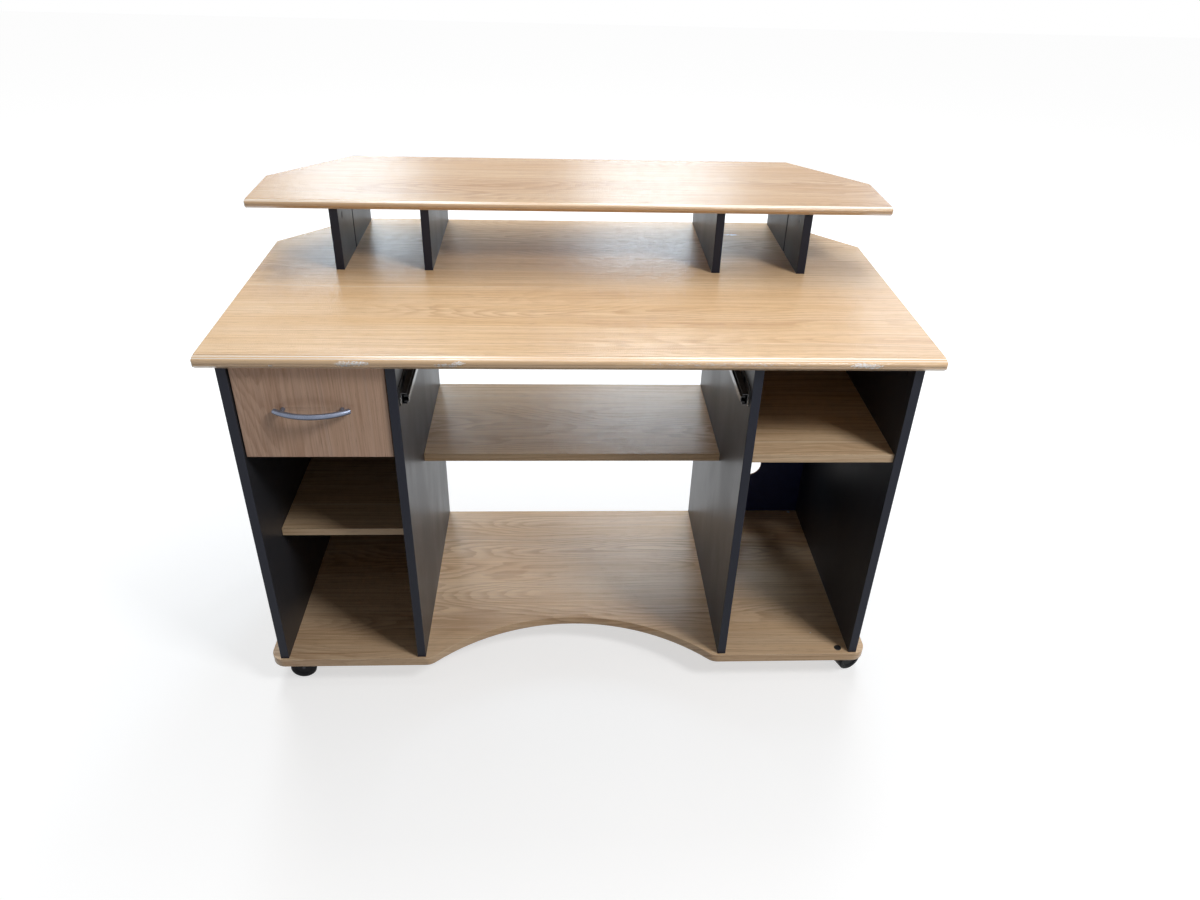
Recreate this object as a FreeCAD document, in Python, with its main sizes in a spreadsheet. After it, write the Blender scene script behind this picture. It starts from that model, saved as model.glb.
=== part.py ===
import FreeCAD, Part
import math
import os
import re
import Sketcher

# Computer desk: a worktop and a riser shelf on charcoal uprights, a drawer, three shelves,
# keyboard runners without their tray, and a base board on four twin wheel castors.
# Frame: X to the right, Y to the rear, Z up from the floor, origin under the middle.

document = FreeCAD.newDocument("computer_desk")
sheet = document.addObject("Spreadsheet::Sheet", "Sizes")

# Sizes that can be set by themselves, in millimetres and degrees.
FREE_SIZES = {
    # height of the worktop's face above the floor
    "desk_height": 740,
    # worktop and its moulded nose, whose shares follow the board's thickness
    "worktop_width": 1200,
    "worktop_depth": 674,
    "worktop_thickness": 22,
    "worktop_clip_side": 139,
    "worktop_clip_back": 148,
    "nose_depth_share": 0.73,
    "nose_step_share": 0.02,
    "nose_tip_share": 0.57,
    "nose_round_share": 0.32,
    "quirk_height_share": 0.06,
    "quirk_depth_share": 0.05,
    "lip_height_share": 0.10,
    "slope_depth_share": 0.52,
    "lip_round_share": 0.14,
    "nose_corner_cut": 2.5,
    # riser shelf and its supports
    "riser_side_inset": 2,
    "riser_depth": 310,
    "riser_thickness": 16,
    "riser_clip_side": 138,
    "riser_clip_back": 154,
    "support_height": 118,
    "support_depth": 293,
    "support_setback": 10,
    "outer_support_inset": 149.5,
    "inner_support_inset": 6,
    "support_groove_width": 6,
    "support_groove_depth": 5,
    "support_groove_setback": 117,
    # uprights
    "board_thickness": 16,
    "edge_ease": 0.6,
    "panel_depth": 480,
    "panel_setback": 16.5,
    "panel_side_inset": 28,
    "bay_width": 250,
    # base board
    "base_side_inset": 7.5,
    "base_thickness": 18,
    "base_lead": 4.5,
    "base_corner_radius": 28,
    "arch_radius": 404,
    "arch_depth": 113,
    "arch_blend_radius": 28,
    # cover cap in the base board
    "cap_diameter": 14.5,
    "cap_height": 1.2,
    "cap_bevel": 0.8,
    "cap_shank_diameter": 8,
    "cap_shank_length": 9,
    "cap_side_inset": 55,
    "cap_front_inset": 17,
    # shelves
    "centre_shelf_rise": 335,
    "centre_shelf_setback": 194,
    "left_shelf_setback": 96,
    "right_shelf_rise": 456,
    "right_shelf_setback": 5,
    "shelf_slack": 0.5,
    "seat_gap": 0.1,
    # shelf pins
    "pin_hole_diameter": 5,
    "pin_hole_depth": 10,
    "pin_hole_pitch": 32,
    "pin_rise": 227,
    "pin_front_inset": 22,
    "pin_fit": 0.1,
    "pin_length": 8,
    "pin_reach": 9,
    # backs
    "back_thickness": 3,
    "back_margin": 2,
    "cable_hole_diameter": 57,
    "cable_hole_rise": 135,
    "cable_hole_inset": 119,
    "vent_hole_diameter": 135,
    "vent_hole_rise": 269,
    # cam locks
    "cam_diameter": 15,
    "cam_depth": 12,
    "cam_fit": 0.1,
    "cam_edge_distance": 22,
    "cam_end_distance": 32,
    "cam_slot_width": 2,
    "cam_slot_length": 9,
    "cam_slot_depth": 3,
    # screws through the base into the uprights
    "screw_head_diameter": 9,
    "screw_head_height": 3,
    "screw_shank_diameter": 5,
    "screw_length": 48,
    "screw_fit": 0.1,
    "screw_inset": 110,
    # drawer
    "drawer_side_gap": 2,
    "drawer_top_gap": 3,
    "drawer_front_height": 171,
    "drawer_inset": 5,
    "drawer_front_round": 1.2,
    "drawer_rear_gap": 59,
    "drawer_box_height": 120,
    "drawer_box_lift": 20,
    "drawer_board": 12,
    "drawer_bottom_thickness": 3,
    "drawer_bottom_lift": 10,
    "drawer_groove_depth": 5,
    "drawer_bottom_play": 0.3,
    # handle
    "handle_rise_share": 0.55,
    "handle_pitch": 96,
    "handle_length": 133,
    "handle_reach": 26.75,
    "handle_bow": 20.5,
    "handle_bar_diameter": 9.5,
    "handle_end_bevel": 1.5,
    "handle_post_diameter": 7.5,
    "handle_screw_diameter": 4,
    "handle_screw_head_diameter": 8,
    "handle_screw_head_height": 2.4,
    "handle_screw_grip": 9,
    # drawer runners, whose gap is the free way beside the drawer box
    "runner_gap": 12.5,
    "runner_setback": 2,
    "runner_sheet": 1.2,
    "rail_flange": 9.3,
    "runner_lip": 8.3,
    "runner_seat": 10,
    "roller_diameter": 18,
    "roller_width": 7.6,
    "roller_play": 0.3,
    "roller_side_play": 0.4,
    "roller_end_distance": 12,
    "roller_pin_diameter": 5,
    "roller_pin_fit": 0.1,
    "lip_play": 0.5,
    # keyboard runners on the dividers
    "bracket_thickness": 1.5,
    "bracket_height": 37,
    "bracket_top_drop": 42,
    "bracket_lead": 11,
    "bracket_length": 290,
    "bracket_corner_radius": 4,
    "bracket_window_length": 39,
    "bracket_window_height": 15,
    "bracket_window_inset": 13,
    "bracket_window_top": 5,
    "bracket_pad_depth": 2.5,
    "bracket_pad_length": 24,
    "channel_lead": 7,
    "channel_length": 300,
    "channel_height": 20,
    "channel_depth": 9.5,
    "channel_sheet": 1.1,
    "channel_lip": 1.2,
    "channel_foot": 8,
    "slide_width": 12.7,
    "slide_height": 11,
    "slide_flange": 6.6,
    "cage_length": 90,
    "cage_sheet": 0.8,
    "cage_arm": 4.8,
    "cage_offset": 1.4,
    "race_play": 0.3,
    "keyboard_travel": 200,
    # castors
    "castor_height": 58,
    "castor_side_inset": 36,
    "castor_end_inset": 45,
    "castor_trail": 14,
    "wheel_diameter": 50,
    "wheel_pair_width": 40,
    "wheel_gap": 6,
    "wheel_edge_bevel": 2.5,
    "wheel_dish_diameter": 36,
    "wheel_dish_depth": 2.5,
    "axle_diameter": 6,
    "axle_fit": 0.1,
    "axle_end_inset": 1,
    "hood_web": 5,
    "hood_clearance": 0.8,
    "hood_shell": 1.8,
    "hood_side_inset": 0.5,
    "hood_hub_radius": 6,
    "hood_rear_angle": 30,
    "hood_front_angle": 35,
    "boss_diameter": 22,
    "boss_root": 12,
    "plate_side": 40,
    "plate_thickness": 2,
    "plate_corner_cut": 5,
    "plate_gap": 0.4,
    "castor_pin_diameter": 8,
    "castor_pin_length": 8,
    "castor_pin_fit": 0.1,
    "castor_turn_front_left": 6,
    "castor_turn_front_right": 23,
    "castor_turn_rear_left": 14,
    "castor_turn_rear_right": 9,
    # how far a cutting tool runs past a face
    "overrun": 5,
}

# Sizes that follow from others.
LINKED_SIZES = {
    "panel_height": "desk_height - worktop_thickness - base_thickness - castor_height",
    "panel_span": "worktop_width - 2 * panel_side_inset",
    "knee_width": "panel_span - 2 * bay_width - 4 * board_thickness",
    "riser_width": "worktop_width - 2 * riser_side_inset",
    "outer_support_span": "worktop_width - 2 * outer_support_inset",
    "inner_support_span": "knee_width - 2 * inner_support_inset",
    "centre_shelf_depth": "panel_depth - centre_shelf_setback",
    "left_shelf_depth": "panel_depth - left_shelf_setback",
    "drawer_box_depth": "panel_depth - drawer_inset - board_thickness - drawer_rear_gap",
    "runner_length": "drawer_box_depth",
    "base_width": "worktop_width - 2 * base_side_inset",
    "base_top": "castor_height + base_thickness",
    "worktop_under": "base_top + panel_height",
    "worktop_top": "worktop_under + worktop_thickness",
    "riser_under": "worktop_top + support_height",
    "drawer_face_setback": "panel_setback + drawer_inset",
    "handle_overhang": "handle_reach + handle_bar_diameter / 2 - drawer_face_setback",
    "front_y": "handle_overhang - (worktop_depth + handle_overhang) / 2",
    "rear_y": "front_y + worktop_depth",
    "panel_y": "front_y + panel_setback",
    "panel_rear_y": "panel_y + panel_depth",
    "base_depth": "panel_depth + base_lead",
    "base_y": "panel_y - base_lead",
    "knee_half": "knee_width / 2",
    "divider_face": "knee_half + board_thickness",
    "bay_outer": "divider_face + bay_width",
    "panel_half": "panel_span / 2",
    "support_y": "rear_y - riser_depth + support_setback",
    "pin_diameter": "pin_hole_diameter - 2 * pin_fit",
    "left_shelf_rise": "pin_rise + pin_diameter / 2 + seat_gap",
    "cam_bore_diameter": "cam_diameter + 2 * cam_fit",
    "screw_bore_diameter": "screw_shank_diameter + 2 * screw_fit",
    "drawer_front_width": "bay_width - 2 * drawer_side_gap",
    "drawer_front_z": "worktop_under - drawer_top_gap - drawer_front_height",
    "drawer_y": "front_y + drawer_face_setback",
    "drawer_box_y": "drawer_y + board_thickness",
    "drawer_box_z": "drawer_front_z + drawer_box_lift",
    "drawer_box_width": "bay_width - 2 * runner_gap",
    "drawer_inner_width": "drawer_box_width - 2 * drawer_board",
    "bay_middle": "(divider_face + bay_outer) / 2",
    "handle_rise": "drawer_front_height * handle_rise_share",
    "handle_radius": "((handle_length - handle_bar_diameter) ^ 2 / 4 + handle_bow ^ 2) / (2 * handle_bow)",
    "handle_half_angle": "asin((handle_length - handle_bar_diameter) / 2 / handle_radius)",
    "handle_post_length": "handle_reach - handle_radius + sqrt(handle_radius ^ 2 - handle_pitch ^ 2 / 4)",
    "handle_screw_length": "board_thickness + handle_screw_grip",
    "handle_bore_diameter": "handle_screw_diameter + 2 * screw_fit",
    "runner_y": "drawer_box_y + runner_setback",
    "roller_rise": "runner_sheet + roller_play + roller_diameter / 2",
    "lip_rise": "roller_rise + roller_diameter / 2 + roller_play",
    "rail_height": "lip_rise + runner_sheet + lip_play + runner_sheet",
    "rail_z": "drawer_box_z - runner_sheet - (roller_rise - roller_pin_diameter / 2 - 2 * runner_sheet)",
    "web_foot": "drawer_box_z - runner_sheet - rail_z",
    "runner_web_face": "runner_gap - runner_sheet",
    "roller_inset": "runner_sheet + roller_side_play",
    "bracket_z": "worktop_under - bracket_top_drop - bracket_height",
    "bracket_y": "panel_y + bracket_lead",
    "channel_y": "panel_y + channel_lead",
    "channel_seat": "bracket_thickness + bracket_pad_depth",
    "channel_middle_z": "bracket_z + channel_foot + channel_height / 2",
    "cage_start": "(keyboard_travel + (channel_length - keyboard_travel - cage_length)) / 2",
    "castor_x": "base_width / 2 - castor_side_inset",
    "castor_front_y": "base_y + castor_end_inset",
    "castor_rear_y": "panel_rear_y - castor_end_inset",
    "wheel_radius": "wheel_diameter / 2",
    "wheel_width": "(wheel_pair_width - wheel_gap) / 2",
    "wheel_bore_radius": "axle_diameter / 2 + axle_fit",
    "well_radius": "wheel_radius + hood_clearance",
    "hood_radius": "well_radius + hood_shell",
    "hood_top": "castor_height - plate_thickness - plate_gap",
    "boss_foot": "hood_top - boss_root",
    "castor_bore_diameter": "castor_pin_diameter + 2 * castor_pin_fit",
}

for row, (alias, number) in enumerate(FREE_SIZES.items(), start=1):
    cell = "A%d" % row
    sheet.set(cell, str(number))
    sheet.setAlias(cell, alias)
for row, (alias, formula) in enumerate(LINKED_SIZES.items(), start=1):
    cell = "C%d" % row
    sheet.set(cell, "=" + formula)
    sheet.setAlias(cell, alias)
document.recompute()

ALIASES = set(FREE_SIZES) | set(LINKED_SIZES)
UP = FreeCAD.Vector(0, 0, 1)
nodes = []


def bound(text):
    """The text of a formula with each size's name pointing into the sheet."""
    def pointed(word):
        return "Sizes." + word.group() if word.group() in ALIASES else word.group()

    return re.sub(r"[a-z_]+", pointed, text)


def size(text):
    """The present value of a formula of named sizes."""
    value = sheet.evalExpression(text)
    return float(getattr(value, "Value", value))


def point(x, y, z):
    return FreeCAD.Vector(size(x), size(y), size(z))


def new_body(label):
    body = document.addObject("PartDesign::Body", label)
    body.Label = label
    return body


def new_sketch(body, plane, offset="0"):
    """A sketch on one of the body's own planes, moved along its normal by a formula."""
    sketch = body.newObject("Sketcher::SketchObject", body.Name + "_sketch")
    support = [feature for feature in body.Origin.OriginFeatures if feature.Role == plane][0]
    sketch.AttachmentSupport = (support, [""])
    sketch.MapMode = "FlatFace"
    if offset != "0":
        sketch.AttachmentOffset = FreeCAD.Placement(FreeCAD.Vector(0, 0, size(offset)), FreeCAD.Rotation())
        sketch.setExpression("AttachmentOffset.Base.z", bound(offset))
    return sketch


def fix_point(sketch, geometry, end, x, y):
    """Ties a point of the sketch to its two coordinates."""
    if x == "0":
        sketch.addConstraint(Sketcher.Constraint("PointOnObject", geometry, end, -2))
    else:
        number = sketch.addConstraint(Sketcher.Constraint("DistanceX", -1, 1, geometry, end, size(x)))
        sketch.setExpression("Constraints[%d]" % number, bound(x))
    if y == "0":
        sketch.addConstraint(Sketcher.Constraint("PointOnObject", geometry, end, -1))
    else:
        number = sketch.addConstraint(Sketcher.Constraint("DistanceY", -1, 1, geometry, end, size(y)))
        sketch.setExpression("Constraints[%d]" % number, bound(y))


def fix_radius(sketch, geometry, radius):
    number = sketch.addConstraint(Sketcher.Constraint("Radius", geometry, size(radius)))
    sketch.setExpression("Constraints[%d]" % number, bound(radius))


def polygon(sketch, corners):
    """A closed outline of straight lines through corners given as pairs of formulas."""
    spots = [point(x, y, "0") for x, y in corners]
    lines = [sketch.addGeometry(Part.LineSegment(a, b)) for a, b in zip(spots, spots[1:] + spots[:1])]
    for line, following in zip(lines, lines[1:] + lines[:1]):
        sketch.addConstraint(Sketcher.Constraint("Coincident", line, 2, following, 1))
    for line, (x, y) in zip(lines, corners):
        fix_point(sketch, line, 1, x, y)
    return lines


def rectangle(sketch, x_low, y_low, x_high, y_high):
    return polygon(sketch, [(x_low, y_low), (x_high, y_low), (x_high, y_high), (x_low, y_high)])


def circle(sketch, x, y, radius):
    """A circle tied to its middle and its radius."""
    ring = sketch.addGeometry(Part.Circle(point(x, y, "0"), UP, size(radius)))
    fix_point(sketch, ring, 3, x, y)
    fix_radius(sketch, ring, radius)
    return ring


def pad(body, sketch, length, middle=False, reverse=False):
    feature = body.newObject("PartDesign::Pad", body.Name + "_pad")
    feature.Profile = sketch
    feature.Length = size(length)
    feature.setExpression("Length", bound(length))
    feature.SideType = "Symmetric" if middle else "One side"
    feature.Reversed = reverse
    document.recompute()
    return feature


def pocket(body, sketch, depth=None, reverse=False):
    """Cuts to a depth against the sketch's normal, or right through both ways, and checks that it cut."""
    before = body.Shape.Volume
    feature = body.newObject("PartDesign::Pocket", body.Name + "_pocket")
    feature.Profile = sketch
    if depth is None:
        feature.Type = "ThroughAll"
        feature.SideType = "Symmetric"
    else:
        feature.Length = size(depth)
        feature.setExpression("Length", bound(depth))
        feature.Reversed = reverse
    document.recompute()
    if not body.Shape.Volume < before:
        raise RuntimeError("a pocket of %s cuts nothing" % body.Label)
    return feature


def revolve(body, sketch, axis="H_Axis"):
    feature = body.newObject("PartDesign::Revolution", body.Name + "_revolution")
    feature.Profile = sketch
    feature.ReferenceAxis = (sketch, [axis])
    document.recompute()
    return feature


def round_edges(body, wanted, radius):
    """Rounds the edges whose curve and middle the test accepts."""
    names = ["Edge%d" % number for number, edge in enumerate(body.Shape.Edges, start=1) if wanted(edge)]
    if not names:
        raise RuntimeError("no edge to round on %s" % body.Label)
    solid = body.Tip
    feature = body.newObject("PartDesign::Fillet", body.Name + "_fillet")
    feature.Base = (solid, names)
    feature.Radius = size(radius)
    feature.setExpression("Radius", bound(radius))
    document.recompute()
    if "Invalid" in feature.State:
        raise RuntimeError("an edge of %s can't be rounded" % body.Label)
    return feature


def bevel_edges(body, wanted, width):
    """Bevels the edges that the test accepts."""
    names = ["Edge%d" % number for number, edge in enumerate(body.Shape.Edges, start=1) if wanted(edge)]
    solid = body.Tip
    feature = body.newObject("PartDesign::Chamfer", body.Name + "_chamfer")
    feature.Base = (solid, names)
    feature.Size = size(width)
    feature.setExpression("Size", bound(width))
    document.recompute()
    if not names or "Invalid" in feature.State:
        raise RuntimeError("an edge of %s can't be bevelled" % body.Label)
    return feature


def place(node, x, y, z, turn=None):
    """Sets a node in the frame by formulas and notes it for export."""
    node.Placement = FreeCAD.Placement(point(x, y, z), FreeCAD.Rotation(UP, size(turn) if turn else 0))
    for axis, text in zip("xyz", (x, y, z)):
        node.setExpression("Placement.Base." + axis, bound(text))
    if turn:
        node.setExpression("Placement.Rotation.Angle", bound(turn))
    nodes.append(node)


def mirrored(text, side):
    """A formula for the right side, or its mirror image for the left."""
    if text == "0" or side > 0:
        return text
    return "-(" + text + ")"


def near(first, second):
    return abs(first - second) < size("edge_ease") / 2


# Boards with a moulded front nose, clipped rear corners and slightly cut front corners.

def moulded_board(label, width, depth, thickness, clip_side, clip_back):
    """A board whose front edge has a stepped round over a quirk and a sloping lip."""
    body = new_body(label)
    sketch = new_sketch(body, "YZ_Plane")
    fall = "%s * nose_depth_share" % thickness
    step = "%s * (1 - nose_step_share)" % thickness
    tip = "%s * nose_tip_share" % thickness
    turn = "%s * nose_round_share" % thickness
    quirk = "%s * quirk_depth_share" % thickness
    quirk_middle = "%s * (nose_tip_share - quirk_height_share / 2)" % thickness
    quirk_foot = "%s * (nose_tip_share - quirk_height_share)" % thickness
    lip = "%s * (nose_tip_share - quirk_height_share - lip_height_share)" % thickness
    slope = "%s * slope_depth_share" % thickness
    corners = [("0", tip), (quirk, quirk_middle), ("0", quirk_foot), ("0", lip), (slope, "0"),
               (depth, "0"), (depth, thickness), (fall, thickness), (fall, step)]
    spots = [point(x, y, "0") for x, y in corners]
    lines = [sketch.addGeometry(Part.LineSegment(a, b)) for a, b in zip(spots, spots[1:])]
    for line, following in zip(lines, lines[1:]):
        sketch.addConstraint(Sketcher.Constraint("Coincident", line, 2, following, 1))
    for line, (x, y) in zip(lines, corners):
        fix_point(sketch, line, 1, x, y)
    fix_point(sketch, lines[-1], 2, fall, step)
    # the two tangent arcs of the round: a flat one off the step and a tight one into the tip
    small = size(turn)
    run = size(fall) - small
    rise = size(step) - size(tip)
    large = (run ** 2 + rise ** 2 - small ** 2) / (2 * (rise - small))
    bend = math.atan2(size(tip) - size(step) + large, small - size(fall))
    flat_middle = FreeCAD.Vector(size(fall), size(step) - large, 0)
    tight_middle = FreeCAD.Vector(small, size(tip), 0)
    flat = sketch.addGeometry(Part.ArcOfCircle(Part.Circle(flat_middle, UP, large), math.pi / 2, bend))
    tight = sketch.addGeometry(Part.ArcOfCircle(Part.Circle(tight_middle, UP, small), bend, math.pi))
    sketch.addConstraint(Sketcher.Constraint("Coincident", flat, 1, lines[-1], 2))
    sketch.addConstraint(Sketcher.Constraint("Vertical", flat, 3, lines[-1], 2))
    sketch.addConstraint(Sketcher.Constraint("Tangent", flat, 2, tight, 1))
    sketch.addConstraint(Sketcher.Constraint("Coincident", tight, 2, lines[0], 1))
    sketch.addConstraint(Sketcher.Constraint("Horizontal", tight, 3, lines[0], 1))
    fix_radius(sketch, tight, turn)
    pad(body, sketch, width)
    lip_z = size(lip)

    def lip_edge(edge):
        middle = edge.BoundBox.Center
        return edge.BoundBox.YLength < size("seat_gap") and near(middle.z, lip_z) and near(middle.y, 0)

    round_edges(body, lip_edge, "%s * lip_round_share" % thickness)
    clips = new_sketch(body, "XY_Plane")
    side_y = "%s - %s" % (depth, clip_back)
    polygon(clips, [("0", side_y), (clip_side, depth), (clip_side, depth + " + overrun"),
                    ("-overrun", depth + " + overrun"), ("-overrun", side_y)])
    far_x = "%s - %s" % (width, clip_side)
    outer_x, outer_y = width + " + overrun", depth + " + overrun"
    polygon(clips, [(width, side_y), (outer_x, side_y), (outer_x, outer_y), (far_x, outer_y), (far_x, depth)])
    reach = "nose_corner_cut + overrun"
    polygon(clips, [("-overrun", "-overrun"), (reach, "-overrun"), ("-overrun", reach)])
    far_reach = "%s - nose_corner_cut - overrun" % width
    polygon(clips, [(width + " + overrun", "-overrun"), (width + " + overrun", reach), (far_reach, "-overrun")])
    pocket(body, clips)
    return body


def board(label, width, depth, height, eased="side"):
    """A board from its front left bottom corner, with its front edges eased."""
    body = new_body(label)
    if eased == "side":
        sketch = new_sketch(body, "YZ_Plane")
        polygon(sketch, [("edge_ease", "0"), (depth, "0"), (depth, height), ("edge_ease", height),
                         ("0", height + " - edge_ease"), ("0", "edge_ease")])
        pad(body, sketch, width)
    else:
        sketch = new_sketch(body, "XY_Plane")
        polygon(sketch, [("edge_ease", "0"), (width + " - edge_ease", "0"), (width, "edge_ease"),
                         (width, depth), ("0", depth), ("0", "edge_ease")])
        pad(body, sketch, height)
    return body


def drill_side(body, face, spots, radius, depth, inward):
    """Blind holes into a face square to X at the given place; inward is the way the drill goes."""
    sketch = new_sketch(body, "YZ_Plane", face)
    for y, z in spots:
        circle(sketch, y, z, radius)
    pocket(body, sketch, depth, reverse=inward > 0)


worktop = moulded_board("worktop", "worktop_width", "worktop_depth", "worktop_thickness",
                        "worktop_clip_side", "worktop_clip_back")
place(worktop, "-worktop_width / 2", "front_y", "worktop_under")
riser = moulded_board("riser_shelf", "riser_width", "riser_depth", "riser_thickness",
                      "riser_clip_side", "riser_clip_back")
place(riser, "-riser_width / 2", "rear_y - riser_depth", "riser_under")

# Cams and their places: each is a bore in a face with its cam flush in it.
cam = new_body("cam")
cam_sketch = new_sketch(cam, "XY_Plane")
circle(cam_sketch, "0", "0", "cam_diameter / 2")
pad(cam, cam_sketch, "cam_depth", reverse=True)
cam_slots = new_sketch(cam, "XY_Plane")
rectangle(cam_slots, "-cam_slot_length / 2", "-cam_slot_width / 2",
          "cam_slot_length / 2", "cam_slot_width / 2")
pocket(cam, cam_slots, "cam_slot_depth")
cam_places = []


def cam_at(x, y, z, axis):
    """Notes a cam whose slotted face looks along the axis."""
    turn = FreeCAD.Rotation(UP, FreeCAD.Vector(*axis))
    cam_places.append(FreeCAD.Placement(point(x, y, z), turn))


# Riser supports; the outer ones have a groove and cams in the face that looks at the middle.
for side, word in ((-1, "left"), (1, "right")):
    outer = board("riser_support_outer_" + word, "board_thickness", "support_depth", "support_height",
                  "front")
    face = "board_thickness" if side < 0 else "0"
    groove = new_sketch(outer, "XY_Plane")
    if side < 0:
        groove_x = ("board_thickness - support_groove_depth", "board_thickness + overrun")
    else:
        groove_x = ("-overrun", "support_groove_depth")
    rectangle(groove, groove_x[0], "support_groove_setback",
              groove_x[1], "support_groove_setback + support_groove_width")
    pocket(outer, groove)
    cam_z = "support_height - cam_edge_distance"
    cam_ys = ("cam_end_distance", "support_depth - cam_end_distance")
    drill_side(outer, face, [(y, cam_z) for y in cam_ys], "cam_bore_diameter / 2", "cam_depth", side)
    outer_x = "-outer_support_span / 2" if side < 0 else "outer_support_span / 2 - board_thickness"
    place(outer, outer_x, "support_y", "worktop_top")
    for y in cam_ys:
        face_x = mirrored("outer_support_span / 2 - board_thickness", side)
        cam_at(face_x, "support_y + " + y, "worktop_top + " + cam_z, (-side, 0, 0))
    inner = board("riser_support_inner_" + word, "board_thickness", "support_depth", "support_height",
                  "front")
    inner_x = "-inner_support_span / 2" if side < 0 else "inner_support_span / 2 - board_thickness"
    place(inner, inner_x, "support_y", "worktop_top")

# Uprights: bay_side is the way their bay lies.
PIN_YS = ("panel_depth - left_shelf_depth + pin_front_inset",
          "panel_depth - pin_front_inset - 2 * pin_hole_pitch")
PIN_RISES = ("pin_rise - pin_hole_pitch", "pin_rise", "pin_rise + pin_hole_pitch")
UPRIGHTS = (
    ("side_panel_left", "-panel_half", 1, PIN_RISES),
    ("divider_left", "-divider_face", -1, PIN_RISES[1:2]),
    ("divider_right", "knee_half", 1, ()),
    ("side_panel_right", "panel_half - board_thickness", -1, ()),
)
CAM_YS = ("cam_end_distance", "panel_depth - cam_end_distance")
SCREW_YS = ("screw_inset", "panel_depth - screw_inset")

for label, x, bay_side, pin_rises in UPRIGHTS:
    upright = board(label, "board_thickness", "panel_depth", "panel_height", "front")
    face = "board_thickness" if bay_side > 0 else "0"
    if pin_rises:
        holes = [(y, z) for y in PIN_YS for z in pin_rises]
        drill_side(upright, face, holes, "pin_hole_diameter / 2", "pin_hole_depth", -bay_side)
    cam_z = "panel_height - cam_edge_distance"
    drill_side(upright, face, [(y, cam_z) for y in CAM_YS], "cam_bore_diameter / 2", "cam_depth", -bay_side)
    screws = new_sketch(upright, "XY_Plane")
    for y in SCREW_YS:
        circle(screws, "board_thickness / 2", y, "screw_bore_diameter / 2")
    pocket(upright, screws, "screw_length - base_thickness + overrun", reverse=True)
    place(upright, x, "panel_y", "base_top")
    for y in CAM_YS:
        cam_at(x + " + " + face, "panel_y + " + y, "base_top + " + cam_z, (bay_side, 0, 0))

# Base board: rounded front corners and a leg arch that blends into the front edge.
base = new_body("base_board")
outline = new_sketch(base, "XY_Plane")
half = size("base_width / 2")
deep = size("base_depth")
corner = size("base_corner_radius")
blend = size("arch_blend_radius")
arch = size("arch_radius")
arch_y = size("arch_depth") - arch
blend_x = math.sqrt((arch + blend) ** 2 - (blend - arch_y) ** 2)
blend_angle = math.atan2(blend - arch_y, blend_x)


def arc(middle_x, middle_y, radius, start, end):
    middle = FreeCAD.Vector(middle_x, middle_y, 0)
    return outline.addGeometry(Part.ArcOfCircle(Part.Circle(middle, UP, radius), start, end))


def line(x_start, y_start, x_end, y_end):
    start = FreeCAD.Vector(x_start, y_start, 0)
    return outline.addGeometry(Part.LineSegment(start, FreeCAD.Vector(x_end, y_end, 0)))


def join(kind, first, first_end, second, second_end):
    outline.addConstraint(Sketcher.Constraint(kind, first, first_end, second, second_end))


rear_line = line(half, deep, -half, deep)
left_line = line(-half, deep, -half, corner)
left_corner = arc(corner - half, corner, corner, math.pi, 3 * math.pi / 2)
left_front = line(corner - half, 0, -blend_x, 0)
left_blend = arc(-blend_x, blend, blend, 3 * math.pi / 2, 2 * math.pi - blend_angle)
arch_arc = arc(0, arch_y, arch, blend_angle, math.pi - blend_angle)
right_blend = arc(blend_x, blend, blend, math.pi + blend_angle, 3 * math.pi / 2)
right_front = line(blend_x, 0, half - corner, 0)
right_corner = arc(half - corner, corner, corner, 3 * math.pi / 2, 2 * math.pi)
right_line = line(half, corner, half, deep)
join("Coincident", rear_line, 2, left_line, 1)
join("Tangent", left_line, 2, left_corner, 1)
join("Tangent", left_corner, 2, left_front, 1)
join("Tangent", left_front, 2, left_blend, 1)
join("Tangent", left_blend, 2, arch_arc, 2)
join("Tangent", arch_arc, 1, right_blend, 1)
join("Tangent", right_blend, 2, right_front, 1)
join("Tangent", right_front, 2, right_corner, 1)
join("Tangent", right_corner, 2, right_line, 1)
join("Coincident", right_line, 2, rear_line, 1)
outline.addConstraint(Sketcher.Constraint("Vertical", left_line))
outline.addConstraint(Sketcher.Constraint("Vertical", right_line))
fix_point(outline, rear_line, 1, "base_width / 2", "base_depth")
fix_point(outline, rear_line, 2, "-base_width / 2", "base_depth")
outline.addConstraint(Sketcher.Constraint("PointOnObject", left_front, 1, -1))
outline.addConstraint(Sketcher.Constraint("PointOnObject", right_front, 1, -1))
outline.addConstraint(Sketcher.Constraint("PointOnObject", left_front, 2, -1))
outline.addConstraint(Sketcher.Constraint("PointOnObject", right_front, 2, -1))
for corner_arc in (left_corner, right_corner):
    fix_radius(outline, corner_arc, "base_corner_radius")
for blend_arc in (left_blend, right_blend):
    fix_radius(outline, blend_arc, "arch_blend_radius")
fix_point(outline, arch_arc, 3, "0", "arch_depth - arch_radius")
fix_radius(outline, arch_arc, "arch_radius")
pad(base, outline, "base_thickness")
base_screws = new_sketch(base, "XY_Plane")
for label, x, bay_side, pin_rises in UPRIGHTS:
    for y in SCREW_YS:
        circle(base_screws, x + " + board_thickness / 2", "base_lead + " + y, "screw_bore_diameter / 2")
pocket(base, base_screws)
cap_hole = new_sketch(base, "XY_Plane", "base_thickness")
circle(cap_hole, "base_width / 2 - cap_side_inset", "cap_front_inset", "cap_shank_diameter / 2 + pin_fit")
pocket(base, cap_hole, "cap_shank_length + seat_gap")
place(base, "0", "base_y", "castor_height")

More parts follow.
